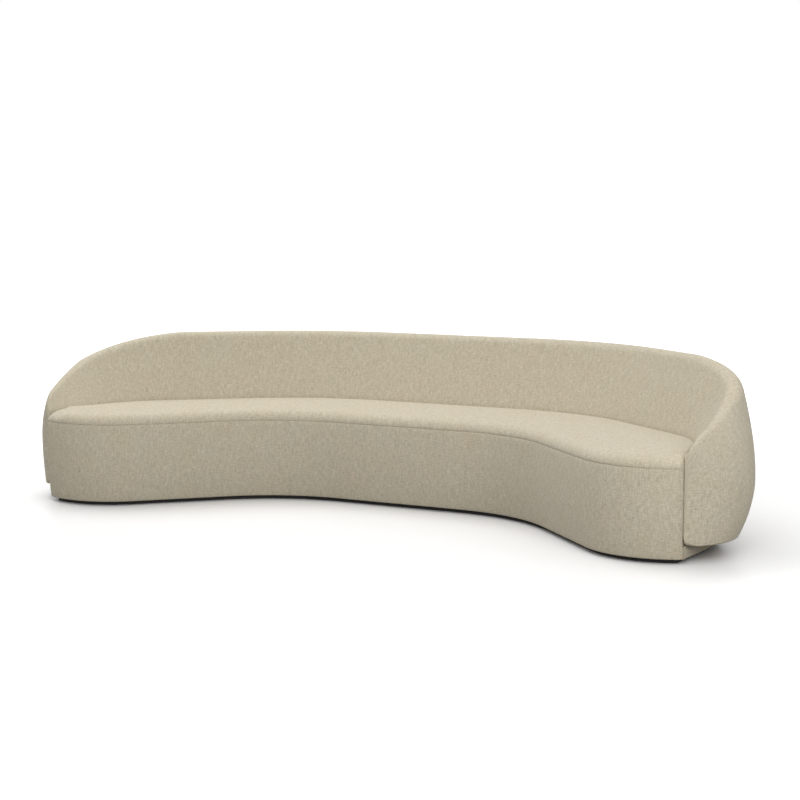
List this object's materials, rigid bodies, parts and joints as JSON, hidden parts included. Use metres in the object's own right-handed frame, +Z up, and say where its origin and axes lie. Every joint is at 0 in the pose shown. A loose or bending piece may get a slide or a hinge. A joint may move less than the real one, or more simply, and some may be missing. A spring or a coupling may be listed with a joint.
{
  "type": "curved sofa",
  "caption": "Long fabric sofa with a kidney-shaped seat and a wrap-round back that slopes down into two low arms, on a recessed dark plinth.",
  "frame": {"origin": "on the floor, under the middle of the sofa's outer form", "axes": "+X to the sitter's left along the sofa, +Y to the back, +Z up"},
  "size_m": [3.5748, 1.4178, 0.77],
  "materials": {
    "foam": "open-cell upholstery foam",
    "upholstery": "matte woven oatmeal cloth",
    "timber": "sawn, unfinished",
    "webbing": "woven elastic webbing",
    "lining": "thin black lining cloth",
    "plinth_wood": "stained near-black",
    "hardboard": "smooth pressed board"
  },
  "bodies": {
    "root": {"arm_end_foam_left": "foam", "arm_end_foam_right": "foam", "arm_front_panel_left": "upholstery", "arm_front_panel_right": "upholstery", "arm_post_left": "timber", "arm_post_right": "timber", "back_cover": "upholstery", "back_foam": "foam", "back_rib_1": "timber", "back_rib_10": "timber", "back_rib_11": "timber", "back_rib_12": "timber", "back_rib_13": "timber", "back_rib_2": "timber", "back_rib_3": "timber", "back_rib_4": "timber", "back_rib_5": "timber", "back_rib_6": "timber", "back_rib_7": "timber", "back_rib_8": "timber", "back_rib_9": "timber", "back_webbing": "webbing", "base_band": "upholstery", "base_board": "timber", "base_rim": "timber", "bottom_plate": "timber", "dust_cover": "lining", "front_cover": "upholstery", "front_foam": "foam", "front_rail": "timber", "mid_rail": "timber", "plinth": "plinth_wood", "rear_rail": "timber", "seat_cover": "upholstery", "seat_foam": "foam", "seat_rib_1": "timber", "seat_rib_2": "timber", "seat_rib_3": "timber", "seat_rib_4": "timber", "seat_rib_5": "timber", "seat_rib_6": "timber", "seat_rib_7": "timber", "seat_rib_8": "timber", "seat_rib_9": "timber", "seat_webbing": "webbing", "skin_board": "hardboard", "top_rail": "timber"}
  },
  "joints": []
}
